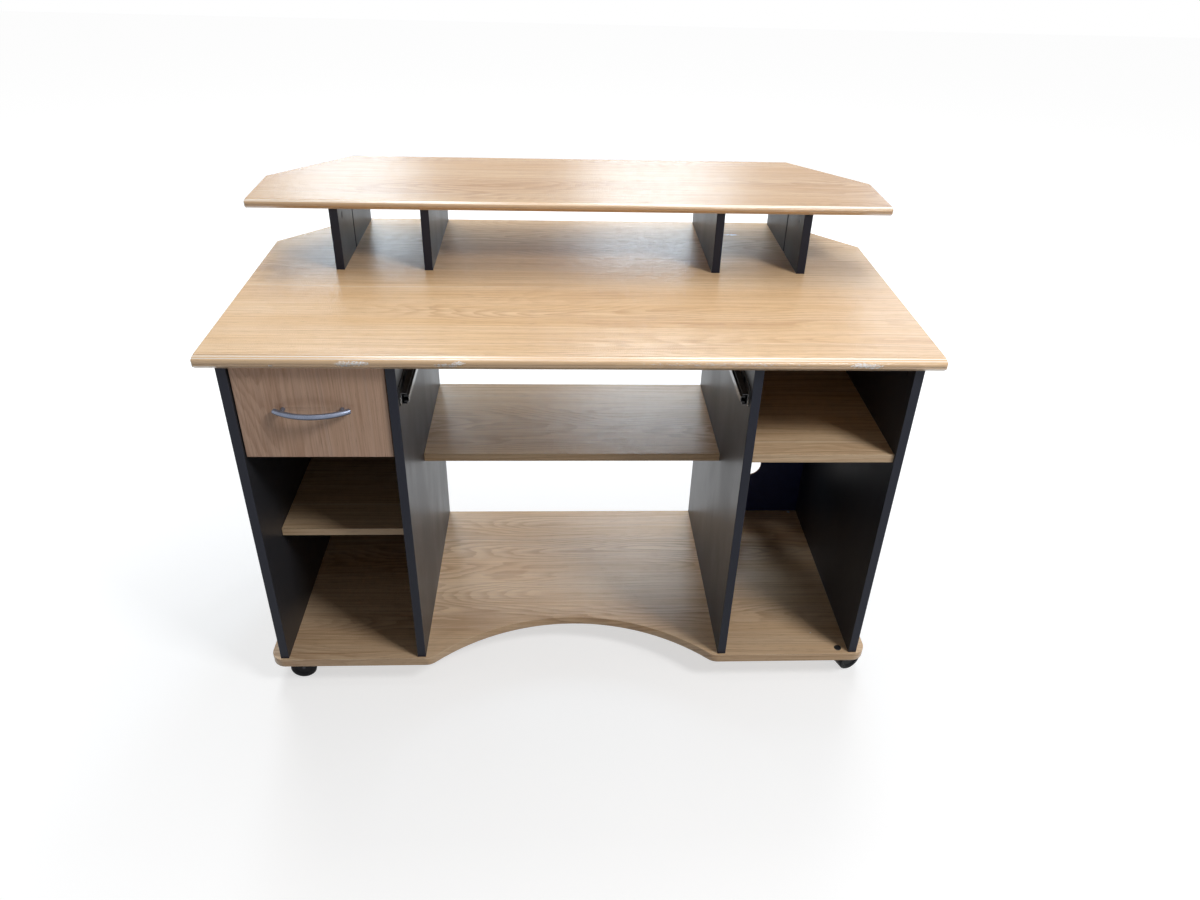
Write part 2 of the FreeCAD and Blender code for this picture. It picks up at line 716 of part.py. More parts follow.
base_cap = new_body("base_cap")
cap_profile = new_sketch(base_cap, "XZ_Plane")
polygon(cap_profile, [("0", "-cap_shank_length"), ("cap_shank_diameter / 2", "-cap_shank_length"),
                      ("cap_shank_diameter / 2", "0"), ("cap_diameter / 2", "0"),
                      ("cap_diameter / 2 - cap_bevel", "cap_height"), ("0", "cap_height")])
revolve(base_cap, cap_profile, "V_Axis")
place(base_cap, "base_width / 2 - cap_side_inset", "base_y + cap_front_inset", "base_top")

# Shelves.
centre_shelf = board("centre_shelf", "knee_width", "centre_shelf_depth", "board_thickness")
right_shelf = board("right_shelf", "bay_width", "panel_depth - right_shelf_setback", "board_thickness")
left_shelf = board("left_shelf", "bay_width - 2 * shelf_slack", "left_shelf_depth", "board_thickness")
FIXED_SHELVES = (
    (centre_shelf, "-knee_half", "knee_width", "centre_shelf_depth", "centre_shelf_rise"),
    (right_shelf, "divider_face", "bay_width", "panel_depth - right_shelf_setback", "right_shelf_rise"),
)
for shelf, x, width, depth, rise in FIXED_SHELVES:
    bores = new_sketch(shelf, "XY_Plane")
    for cam_x in ("cam_edge_distance", width + " - cam_edge_distance"):
        for cam_y in ("cam_end_distance", depth + " - cam_end_distance"):
            circle(bores, cam_x, cam_y, "cam_bore_diameter / 2")
            cam_at(x + " + " + cam_x, "panel_rear_y - (%s) + %s" % (depth, cam_y), "base_top + " + rise,
                   (0, 0, -1))
    pocket(shelf, bores, "cam_depth", reverse=True)
    place(shelf, x, "panel_rear_y - (%s)" % depth, "base_top + " + rise)
place(left_shelf, "-bay_outer + shelf_slack", "panel_rear_y - left_shelf_depth", "base_top + left_shelf_rise")


def copies(label, template, places):
    """One node of separate solids: the template's shape at each place."""
    node = document.addObject("Part::Feature", label)
    solids = []
    for spot in places:
        solid = template.Shape.copy()
        solid.Placement = spot.multiply(solid.Placement)
        solids.append(solid)
    node.Shape = Part.makeCompound(solids)
    node.Placement = FreeCAD.Placement()
    nodes.append(node)


copies("cam_locks", cam, cam_places)

# Shelf pins: steel rods half in the upright and half under the shelf.
pin = new_body("pin")
pin_profile = new_sketch(pin, "YZ_Plane")
rectangle(pin_profile, "-pin_length", "0", "pin_reach", "pin_diameter / 2")
revolve(pin, pin_profile)
pin_places = []
for face_x, turn in (("-bay_outer", -90), ("-divider_face", 90)):
    for y in PIN_YS:
        spot = point(face_x, "panel_y + " + y, "base_top + pin_rise")
        pin_places.append(FreeCAD.Placement(spot, FreeCAD.Rotation(UP, turn)))
copies("shelf_pins", pin, pin_places)

# Screws that hold the uprights, with flat heads under the base.
screw = new_body("screw")
screw_profile = new_sketch(screw, "XZ_Plane")
screw_radius = "screw_shank_diameter / 2"
polygon(screw_profile, [("0", "-screw_head_height"), ("screw_head_diameter / 2", "-screw_head_height"),
                        ("screw_head_diameter / 2", "0"), (screw_radius, "0"),
                        (screw_radius, "screw_length"), ("0", "screw_length")])
revolve(screw, screw_profile, "V_Axis")
screw_places = []
for label, x, bay_side, pin_rises in UPRIGHTS:
    for y in SCREW_YS:
        spot = point(x + " + board_thickness / 2", "panel_y + " + y, "castor_height")
        screw_places.append(FreeCAD.Placement(spot, FreeCAD.Rotation()))
copies("panel_screws", screw, screw_places)

# Thin backs over the rear edges of each bay, the right one with a cable hole and a vent hole above it.
for side, word in ((-1, "left"), (1, "right")):
    back = new_body("back_panel_" + word)
    back_sketch = new_sketch(back, "XZ_Plane")
    width = "panel_half - knee_half - 2 * back_margin"
    height = "base_thickness + panel_height - 2 * back_margin"
    rectangle(back_sketch, "0", "0", width, height)
    if side > 0:
        hole_x = "board_thickness - back_margin + cable_hole_inset"
        shelf_level = "base_thickness - back_margin"
        circle(back_sketch, hole_x, shelf_level + " + cable_hole_rise", "cable_hole_diameter / 2")
        circle(back_sketch, hole_x, shelf_level + " + vent_hole_rise", "vent_hole_diameter / 2")
    pad(back, back_sketch, "back_thickness", reverse=True)
    back_x = "knee_half + back_margin" if side > 0 else "-panel_half + back_margin"
    place(back, back_x, "panel_rear_y", "castor_height + back_margin")

# Drawer front with eased face edges and holes for the handle's screws.
front = new_body("drawer_front")
front_sketch = new_sketch(front, "XZ_Plane")
rectangle(front_sketch, "0", "0", "drawer_front_width", "drawer_front_height")
pad(front, front_sketch, "board_thickness", reverse=True)
round_edges(front, lambda edge: edge.BoundBox.YLength < size("seat_gap") and near(edge.BoundBox.Center.y, 0),
            "drawer_front_round")
front_holes = new_sketch(front, "XZ_Plane")
HANDLE_XS = ("drawer_front_width / 2 - handle_pitch / 2", "drawer_front_width / 2 + handle_pitch / 2")
for x in HANDLE_XS:
    circle(front_holes, x, "handle_rise", "handle_bore_diameter / 2")
pocket(front, front_holes)
place(front, "-bay_middle - drawer_front_width / 2", "drawer_y", "drawer_front_z")

# Drawer box: two grooved sides, a back over the bottom, and the bottom in the grooves.
groove_low = "drawer_bottom_lift"
groove_high = "drawer_bottom_lift + drawer_bottom_thickness + drawer_bottom_play"
for side, word in ((-1, "left"), (1, "right")):
    drawer_side = new_body("drawer_side_" + word)
    side_sketch = new_sketch(drawer_side, "XZ_Plane")
    corners = [("0", "0"), ("drawer_board", "0"), ("drawer_board", groove_low),
               ("drawer_board - drawer_groove_depth", groove_low),
               ("drawer_board - drawer_groove_depth", groove_high), ("drawer_board", groove_high),
               ("drawer_board", "drawer_box_height"), ("0", "drawer_box_height")]
    polygon(side_sketch, [(mirrored(x, -side), z) for x, z in corners])
    pad(drawer_side, side_sketch, "drawer_box_depth", reverse=True)
    side_x = "-bay_middle %s drawer_box_width / 2" % ("-" if side < 0 else "+")
    place(drawer_side, side_x, "drawer_box_y", "drawer_box_z")
drawer_back = new_body("drawer_back")
back_outline = new_sketch(drawer_back, "XZ_Plane")
rectangle(back_outline, "0", "0", "drawer_inner_width", "drawer_box_height - (%s)" % groove_high)
pad(drawer_back, back_outline, "drawer_board", reverse=True)
place(drawer_back, "-bay_middle - drawer_inner_width / 2", "drawer_box_y + drawer_box_depth - drawer_board",
      "drawer_box_z + " + groove_high)
drawer_bottom = new_body("drawer_bottom")
bottom_width = "drawer_inner_width + 2 * (drawer_groove_depth - drawer_bottom_play)"
bottom_sketch = new_sketch(drawer_bottom, "XY_Plane")
rectangle(bottom_sketch, "0", "0", bottom_width, "drawer_box_depth")
pad(drawer_bottom, bottom_sketch, "drawer_bottom_thickness")
place(drawer_bottom, "-bay_middle - (%s) / 2" % bottom_width, "drawer_box_y",
      "drawer_box_z + drawer_bottom_lift")

# Handle: a bowed bar on two posts; its body starts at the bow's centre of curvature.
handle = new_body("drawer_handle")
bar_sketch = new_sketch(handle, "YZ_Plane")
circle(bar_sketch, "-handle_radius", "0", "handle_bar_diameter / 2")
bar = handle.newObject("PartDesign::Revolution", "handle_bow_bar")
bar.Profile = bar_sketch
bar.ReferenceAxis = (bar_sketch, ["V_Axis"])
bar.Angle = 2 * size("handle_half_angle")
bar.setExpression("Angle", bound("2 * handle_half_angle"))
bar.Midplane = True
document.recompute()
bevel_edges(handle, lambda edge: abs(edge.BoundBox.Center.x) > size("handle_pitch / 2"), "handle_end_bevel")
posts = new_sketch(handle, "XZ_Plane", "handle_radius - handle_reach")
for x in ("-handle_pitch / 2", "handle_pitch / 2"):
    circle(posts, x, "0", "handle_post_diameter / 2")
pad(handle, posts, "handle_post_length")
post_bores = new_sketch(handle, "XZ_Plane", "handle_radius - handle_reach")
for x in ("-handle_pitch / 2", "handle_pitch / 2"):
    circle(post_bores, x, "0", "handle_bore_diameter / 2")
pocket(handle, post_bores, "handle_screw_grip + seat_gap", reverse=True)
place(handle, "-bay_middle", "drawer_y + handle_radius - handle_reach", "drawer_front_z + handle_rise")

handle_screw = new_body("handle_screw")
grip_profile = new_sketch(handle_screw, "YZ_Plane")
polygon(grip_profile, [("-handle_screw_length", "0"), ("handle_screw_head_height", "0"),
                       ("handle_screw_head_height", "handle_screw_head_diameter / 2"),
                       ("0", "handle_screw_head_diameter / 2"), ("0", "handle_screw_diameter / 2"),
                       ("-handle_screw_length", "handle_screw_diameter / 2")])
revolve(handle_screw, grip_profile)
copies("handle_screws", handle_screw,
       [FreeCAD.Placement(point("-bay_middle - drawer_front_width / 2 + " + x, "drawer_box_y",
                                "drawer_front_z + handle_rise"), FreeCAD.Rotation()) for x in HANDLE_XS])

# Drawer runners. Cross sections run inward from the cabinet's face and up from the rail's foot.
for side, word in ((-1, "left"), (1, "right")):
    face_x = "-bay_outer" if side < 0 else "-divider_face"
    rail = new_body("drawer_rail_" + word)
    rail_sketch = new_sketch(rail, "XZ_Plane")
    corners = [("0", "0"), ("runner_sheet + rail_flange", "0"),
               ("runner_sheet + rail_flange", "runner_sheet"),
               ("runner_sheet", "runner_sheet"), ("runner_sheet", "rail_height - runner_sheet"),
               ("runner_sheet + rail_flange", "rail_height - runner_sheet"),
               ("runner_sheet + rail_flange", "rail_height"), ("0", "rail_height")]
    polygon(rail_sketch, [(mirrored(x, -side), z) for x, z in corners])
    pad(rail, rail_sketch, "runner_length", reverse=True)
    stub = new_sketch(rail, "YZ_Plane")
    circle(stub, "roller_end_distance", "roller_rise", "roller_pin_diameter / 2")
    pad(rail, stub, "roller_inset + roller_width", reverse=side > 0)
    place(rail, face_x, "runner_y", "rail_z")

    runner = new_body("drawer_runner_" + word)
    runner_sketch = new_sketch(runner, "XZ_Plane")
    corners = [("runner_gap + runner_seat", "web_foot"),
               ("runner_gap + runner_seat", "web_foot + runner_sheet"),
               ("runner_gap", "web_foot + runner_sheet"), ("runner_gap", "lip_rise + runner_sheet"),
               ("runner_gap - runner_lip - runner_sheet", "lip_rise + runner_sheet"),
               ("runner_gap - runner_lip - runner_sheet", "lip_rise"), ("runner_web_face", "lip_rise"),
               ("runner_web_face", "web_foot")]
    polygon(runner_sketch, [(mirrored(x, -side), z) for x, z in corners])
    pad(runner, runner_sketch, "runner_length - runner_setback", reverse=True)
    stub = new_sketch(runner, "YZ_Plane", mirrored("runner_web_face", -side))
    stub_y = "runner_length - runner_setback - roller_end_distance"
    circle(stub, stub_y, "roller_rise", "roller_pin_diameter / 2")
    pad(runner, stub, "runner_web_face - roller_inset", reverse=side < 0)
    place(runner, face_x, "runner_y", "rail_z")

    for name, y in (("rail_roller_", "roller_end_distance"), ("runner_roller_", stub_y)):
        roller = new_body(name + word)
        roller_sketch = new_sketch(roller, "XY_Plane")
        rectangle(roller_sketch, mirrored("roller_inset", -side), "roller_pin_diameter / 2 + roller_pin_fit",
                  mirrored("roller_inset + roller_width", -side), "roller_diameter / 2")
        revolve(roller, roller_sketch)
        place(roller, face_x, "runner_y + " + y, "rail_z + roller_rise")

# Keyboard runners. Cross sections run from the divider's face towards the middle of the desk.
for side, word in ((-1, "left"), (1, "right")):
    face_x = mirrored("knee_half", side)
    bracket = new_body("keyboard_bracket_" + word)
    plate = new_sketch(bracket, "YZ_Plane")
    rectangle(plate, "0", "0", "bracket_length", "bracket_height")
    pad(bracket, plate, "bracket_thickness", reverse=side > 0)
    round_edges(bracket, lambda edge: edge.BoundBox.XLength > size("seat_gap"), "bracket_corner_radius")
    windows = new_sketch(bracket, "YZ_Plane")
    pads = new_sketch(bracket, "YZ_Plane", mirrored("bracket_thickness", -side))
    pitch = "(bracket_length - 2 * bracket_window_inset - bracket_window_length) / 2"
    high = "bracket_height - bracket_window_top"
    for index in range(3):
        start = "bracket_window_inset + %d * %s" % (index, pitch)
        rectangle(windows, start, high + " - bracket_window_height", start + " + bracket_window_length", high)
        if index:
            middle = "bracket_window_inset + bracket_window_length / 2"
            middle += " + %d * %s - %s / 2" % (index, pitch, pitch)
            rectangle(pads, middle + " - bracket_pad_length / 2", "channel_foot + channel_sheet",
                      middle + " + bracket_pad_length / 2", "channel_foot + channel_height - channel_sheet")
    pocket(bracket, windows)
    pad(bracket, pads, "bracket_pad_depth", reverse=side > 0)
    place(bracket, face_x, "bracket_y", "bracket_z")

    def section(body, corners, length):
        """A profile given from the divider's face and up from the channel's middle, run along Y."""
        sketch = new_sketch(body, "XZ_Plane")
        polygon(sketch, [(mirrored(x, -side), z) for x, z in corners])
        pad(body, sketch, length, reverse=True)

    channel = new_body("keyboard_channel_" + word)
    outer_z = "channel_height / 2"
    inner_z = "channel_height / 2 - channel_sheet"
    lip_z = "channel_height / 2 - channel_sheet - channel_lip"
    web_x = "channel_seat + channel_sheet"
    end_x = "channel_seat + channel_depth"
    lip_x = "channel_seat + channel_depth - channel_sheet"
    section(channel, [("channel_seat", "-" + outer_z), (end_x, "-" + outer_z), (end_x, "-(%s)" % lip_z),
                      (lip_x, "-(%s)" % lip_z), (lip_x, "-(%s)" % inner_z), (web_x, "-(%s)" % inner_z),
                      (web_x, inner_z), (lip_x, inner_z), (lip_x, lip_z), (end_x, lip_z), (end_x, outer_z),
                      ("channel_seat", outer_z)], "channel_length")
    place(channel, face_x, "channel_y", "channel_middle_z")

    slide = new_body("keyboard_slide_" + word)
    top_z = "slide_height / 2"
    under_z = "slide_height / 2 - channel_sheet"
    web_out = "channel_seat + slide_width"
    web_in = "channel_seat + slide_width - channel_sheet"
    arm = "channel_seat + slide_width - channel_sheet - slide_flange"
    section(slide, [(web_out, "-" + top_z), (web_out, top_z), (arm, top_z), (arm, under_z),
                    (web_in, under_z), (web_in, "-(%s)" % under_z), (arm, "-(%s)" % under_z),
                    (arm, "-" + top_z)], "channel_length")
    place(slide, face_x, "channel_y", "channel_middle_z")

    cage = new_body("keyboard_ball_cage_" + word)
    cage_low = "channel_seat + channel_sheet + cage_offset"
    cage_web = "channel_seat + channel_sheet + cage_offset + cage_sheet"
    cage_end = "channel_seat + channel_sheet + cage_offset + cage_sheet + cage_arm"
    cage_z = "(channel_height / 2 - channel_sheet - race_play)"
    cage_in = "slide_height / 2 + race_play"
    section(cage, [(cage_low, "-" + cage_z), (cage_end, "-" + cage_z), (cage_end, "-(%s)" % cage_in),
                   (cage_web, "-(%s)" % cage_in), (cage_web, cage_in), (cage_end, cage_in),
                   (cage_end, cage_z), (cage_low, cage_z)], "cage_length")
    place(cage, face_x, "channel_y + cage_start", "channel_middle_z")

# Castors: a plate with its pin, a moulded hood round the pin and axle, and two wheels.
plate_body = new_body("castor_plate")
plate_sketch = new_sketch(plate_body, "XY_Plane", "castor_height - plate_thickness")
far = "plate_side / 2"
cut = "plate_side / 2 - plate_corner_cut"
polygon(plate_sketch, [(cut, far), ("-(%s)" % cut, far), ("-" + far, cut), ("-" + far, "-(%s)" % cut),
                       ("-(%s)" % cut, "-" + far), (cut, "-" + far), (far, "-(%s)" % cut), (far, cut)])
pad(plate_body, plate_sketch, "plate_thickness")
pin_sketch = new_sketch(plate_body, "XY_Plane", "castor_height - plate_thickness")
circle(pin_sketch, "0", "0", "castor_pin_diameter / 2")
pad(plate_body, pin_sketch, "castor_pin_length", reverse=True)

CASTORS = (
    ("front_left", "-castor_x", "castor_front_y", "castor_turn_front_left"),
    ("front_right", "castor_x", "castor_front_y", "castor_turn_front_right"),
    ("rear_left", "-castor_x", "castor_rear_y", "castor_turn_rear_left"),
    ("rear_right", "castor_x", "castor_rear_y", "castor_turn_rear_right"),
)
copies("castor_plates", plate_body,
       [FreeCAD.Placement(point(x, y, "0"), FreeCAD.Rotation()) for word, x, y, turn in CASTORS])

for word, x, y, turn in CASTORS:
    hood = new_body("castor_hood_" + word)
    sector = new_sketch(hood, "XZ_Plane")
    middle = point("castor_trail", "wheel_radius", "0")
    start = math.radians(size("hood_rear_angle"))
    end = math.pi - math.radians(size("hood_front_angle"))
    outer = size("hood_radius")
    hub = size("hood_hub_radius")
    shell_arc = sector.addGeometry(Part.ArcOfCircle(Part.Circle(middle, UP, outer), start, end))
    hub_arc = sector.addGeometry(Part.ArcOfCircle(Part.Circle(middle, UP, hub), end, start + 2 * math.pi))
    spots = {}
    for name, radius, angle in (("outer_start", outer, start), ("outer_end", outer, end),
                                ("hub_start", hub, start), ("hub_end", hub, end)):
        spots[name] = middle + FreeCAD.Vector(radius * math.cos(angle), radius * math.sin(angle), 0)
    front_line = sector.addGeometry(Part.LineSegment(spots["outer_end"], spots["hub_end"]))
    rear_line = sector.addGeometry(Part.LineSegment(spots["hub_start"], spots["outer_start"]))
    sector.addConstraint(Sketcher.Constraint("Coincident", shell_arc, 2, front_line, 1))
    sector.addConstraint(Sketcher.Constraint("Coincident", front_line, 2, hub_arc, 1))
    sector.addConstraint(Sketcher.Constraint("Coincident", hub_arc, 2, rear_line, 1))
    sector.addConstraint(Sketcher.Constraint("Coincident", rear_line, 2, shell_arc, 1))
    sector.addConstraint(Sketcher.Constraint("Coincident", shell_arc, 3, hub_arc, 3))
    fix_point(sector, shell_arc, 3, "castor_trail", "wheel_radius")
    fix_radius(sector, shell_arc, "hood_radius")
    fix_radius(sector, hub_arc, "hood_hub_radius")
    for radial_line, angle in ((front_line, "180 - hood_front_angle"), (rear_line, "hood_rear_angle")):
        outer_end = 1 if radial_line == front_line else 2
        number = sector.addConstraint(Sketcher.Constraint(
            "DistanceX", -1, 1, radial_line, outer_end,
            size("castor_trail + hood_radius * cos(%s)" % angle)))
        sector.setExpression("Constraints[%d]" % number,
                             bound("castor_trail + hood_radius * cos(%s)" % angle))
        hub_end = 2 if radial_line == front_line else 1
        number = sector.addConstraint(Sketcher.Constraint(
            "DistanceX", -1, 1, radial_line, hub_end,
            size("castor_trail + hood_hub_radius * cos(%s)" % angle)))
        sector.setExpression("Constraints[%d]" % number,
                             bound("castor_trail + hood_hub_radius * cos(%s)" % angle))
    pad(hood, sector, "wheel_pair_width - 2 * hood_side_inset", middle=True)
    boss = new_sketch(hood, "XY_Plane", "hood_top")
    circle(boss, "0", "0", "boss_diameter / 2")
    pad(hood, boss, "boss_root", reverse=True)
    for way in (-1, 1):
        well = new_sketch(hood, "XZ_Plane", mirrored("hood_web / 2", way))
        circle(well, "castor_trail", "wheel_radius", "well_radius")
        pocket(hood, well, "wheel_pair_width", reverse=way > 0)
    bore = new_sketch(hood, "XY_Plane", "hood_top")
    circle(bore, "0", "0", "castor_bore_diameter / 2")
    pocket(hood, bore, "castor_pin_length")
    axle_bore = new_sketch(hood, "XZ_Plane")
    circle(axle_bore, "castor_trail", "wheel_radius", "axle_diameter / 2")
    pocket(hood, axle_bore)
    place(hood, x, y, "0", turn)

    axle = new_body("castor_axle_" + word)
    axle_sketch = new_sketch(axle, "XZ_Plane")
    circle(axle_sketch, "castor_trail", "wheel_radius", "axle_diameter / 2")
    pad(axle, axle_sketch, "wheel_pair_width - 2 * axle_end_inset", middle=True)
    place(axle, x, y, "0", turn)

    for way, end_word in ((-1, "fore"), (1, "aft")):
        wheel = new_body("castor_wheel_%s_%s" % (word, end_word))
        wheel_sketch = new_sketch(wheel, "YZ_Plane")
        inner_y = "wheel_gap / 2"
        outer_y = "wheel_pair_width / 2"
        dish_y = "wheel_pair_width / 2 - wheel_dish_depth"
        corners = [(inner_y, "wheel_bore_radius"), (inner_y, "wheel_radius"),
                   (outer_y + " - wheel_edge_bevel", "wheel_radius"),
                   (outer_y, "wheel_radius - wheel_edge_bevel"), (outer_y, "wheel_dish_diameter / 2"),
                   (dish_y, "wheel_dish_diameter / 2 - wheel_dish_depth"),
                   (dish_y, "wheel_bore_radius")]
        polygon(wheel_sketch, [(mirrored(along, way), radius) for along, radius in corners])
        revolve(wheel, wheel_sketch)
        axle_x = x + " + castor_trail * cos(%s)" % turn
        axle_y = y + " + castor_trail * sin(%s)" % turn
        place(wheel, axle_x, axle_y, "wheel_radius", turn)

document.recompute()

for thing in document.Objects:
    if "Invalid" in thing.State or "Error" in thing.State:
        raise RuntimeError("%s failed: %s" % (thing.Label, thing.State))
labels = [node.Label for node in nodes]
if len(set(labels)) != len(labels):
    raise RuntimeError("two nodes share a name")
for node in nodes:
    if node.Shape.isNull() or not node.Shape.isValid():
        raise RuntimeError("%s has no valid shape" % node.Label)

os.makedirs("parts", exist_ok=True)
for node in nodes:
    node.Shape.exportStep("parts/%s.step" % node.Label)
print("%d nodes written" % len(nodes))
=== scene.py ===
import math

import bpy
from mathutils import Matrix, Vector

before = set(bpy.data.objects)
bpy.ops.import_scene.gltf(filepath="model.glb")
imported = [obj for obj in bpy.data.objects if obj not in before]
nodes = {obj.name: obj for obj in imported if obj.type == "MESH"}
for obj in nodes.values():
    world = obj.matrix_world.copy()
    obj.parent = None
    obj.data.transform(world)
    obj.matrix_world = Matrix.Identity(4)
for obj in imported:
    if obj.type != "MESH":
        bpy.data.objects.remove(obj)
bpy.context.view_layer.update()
scene = bpy.context.scene


# ---- material helper

class Shader:
    """A material with its Principled shader, and short calls that add nodes to it."""

    def __init__(self, name, **surface):
        self.material = bpy.data.materials.new(name)
        self.material.use_nodes = True
        self.tree = self.material.node_tree
        self.surface = self.tree.nodes["Principled BSDF"]
        for socket, value in surface.items():
            self.surface.inputs[socket.replace("_", " ")].default_value = value
        self.place = self.node("TexCoord").outputs["Object"]
        self.facing = self.node("NewGeometry").outputs["Normal"]
        self.rounded = None

    def node(self, kind, inputs=None, **settings):
        """Adds a node. Its inputs are values, or outputs of other nodes that are linked."""
        made = self.tree.nodes.new("ShaderNode" + kind)
        for name, value in settings.items():
            setattr(made, name, value)
        for name, value in (inputs or {}).items():
            if isinstance(value, bpy.types.NodeSocket):
                self.tree.links.new(value, made.inputs[name])
            else:
                made.inputs[name].default_value = value
        return made

    def math(self, operation, first, second=0.0, third=0.0):
        return self.node("Math", {0: first, 1: second, 2: third}, operation=operation).outputs[0]

    def split(self, vector):
        parts = self.node("SeparateXYZ", {0: vector})
        return [parts.outputs[axis] for axis in "XYZ"]

    def vector(self, x, y, z=0.0):
        return self.node("CombineXYZ", {0: x, 1: y, 2: z}).outputs[0]

    def noise(self, vector, scale=1.0, detail=2.0, rough=0.5, bend=0.0):
        made = self.node("TexNoise", {"Vector": vector, "Scale": scale, "Detail": detail, "Roughness": rough,
                                      "Distortion": bend})
        return made.outputs["Fac"]

    def fade(self, value, start, end, low=0.0, high=1.0):
        """Low below start, high above end, smooth between them."""
        made = self.node("MapRange", {0: value, 1: start, 2: end, 3: low, 4: high},
                         interpolation_type="SMOOTHSTEP")
        return made.outputs[0]

    def mix(self, share, first, second):
        """The first colour at share 0, the second at share 1."""
        return self.node("Mix", {0: share, 6: first, 7: second}, data_type="RGBA").outputs[2]

    def arris(self, radius):
        """Rounds edge normals over the radius in metres; gives 1 on the edges, else 0, for a painted edge
        highlight.
        """
        self.rounded = self.node("Bevel", {"Radius": radius}, samples=6).outputs[0]
        alike = self.node("VectorMath", {0: self.rounded, 1: self.facing}, operation="DOT_PRODUCT")
        return self.fade(alike.outputs["Value"], 0.985, 0.85)

    def away(self, value, middle):
        """How far the value is from the middle, without sign."""
        return self.math("ABSOLUTE", self.math("SUBTRACT", value, middle))

    def swing(self, value, reach):
        """The value about its middle of 0.5, made into a swing about 0 that is reach wide."""
        return self.math("MULTIPLY", self.math("SUBTRACT", value, 0.5), reach)

    def set(self, socket, value):
        self.tree.links.new(value, self.surface.inputs[socket])

    def bump(self, height, depth):
        """Raises the surface by height times depth, in metres."""
        made = self.node("Bump", {"Height": height, "Distance": depth, "Strength": 1.0})
        if self.rounded:
            self.tree.links.new(self.rounded, made.inputs["Normal"])
        self.set("Normal", made.outputs[0])


def colour(red, green, blue):
    """A shader colour from the 0 to 255 values that it shows on a screen."""
    shares = [value / 255 for value in (red, green, blue)]
    return tuple(s / 12.92 if s <= 0.04045 else ((s + 0.055) / 1.055) ** 2.4 for s in shares) + (1.0,)


def paint(material, *names):
    for name in names:
        for slot in nodes[name].material_slots:
            slot.link = "OBJECT"
            slot.material = material


# ---- oak foil

# the colours of the print, from the ground to the pores; the pale one is also the painted highlight along the
# edges
OAK_LIGHT = colour(239, 209, 171)
OAK_MIDDLE = colour(230, 194, 151)
OAK_PALE = colour(248, 228, 198)
OAK_DARK = colour(168, 121, 84)
OAK_PORE = colour(126, 88, 60)
# painted light: the lighter, warmer colour of the nose's moulded front
NOSE_LIGHTENING = colour(255, 214, 166)
# painted highlight: the colour of the two pale lines along the nose
NOSE_HIGHLIGHT = colour(254, 249, 240)
# the two painted highlight lines along the nose: distance behind its start and half width in metres, and strength
NOSE_HIGHLIGHT_LINES = ((0.0050, 0.0013, 0.95), (0.0105, 0.0011, 0.85))
OAK_EMBOSS = 0.00036
RING_COUNT = 27.0


def grain_plane(shader, along):
    """Coordinates along and across the grain; on the ends of the boards the pattern turns with the edging."""
    x, y, z = shader.split(shader.place)
    nx, ny, nz = [shader.math("ABSOLUTE", part) for part in shader.split(shader.facing)]
    if along == "X":
        end = shader.math("GREATER_THAN", nx, 0.8)
        u = shader.math("ADD", x, shader.math("MULTIPLY", end, shader.math("SUBTRACT", y, x)))
        v = shader.math("ADD", z, shader.math("MULTIPLY", y, shader.math("SUBTRACT", 1.0, end)))
        return u, v
    return z, shader.math("ADD", x, y)


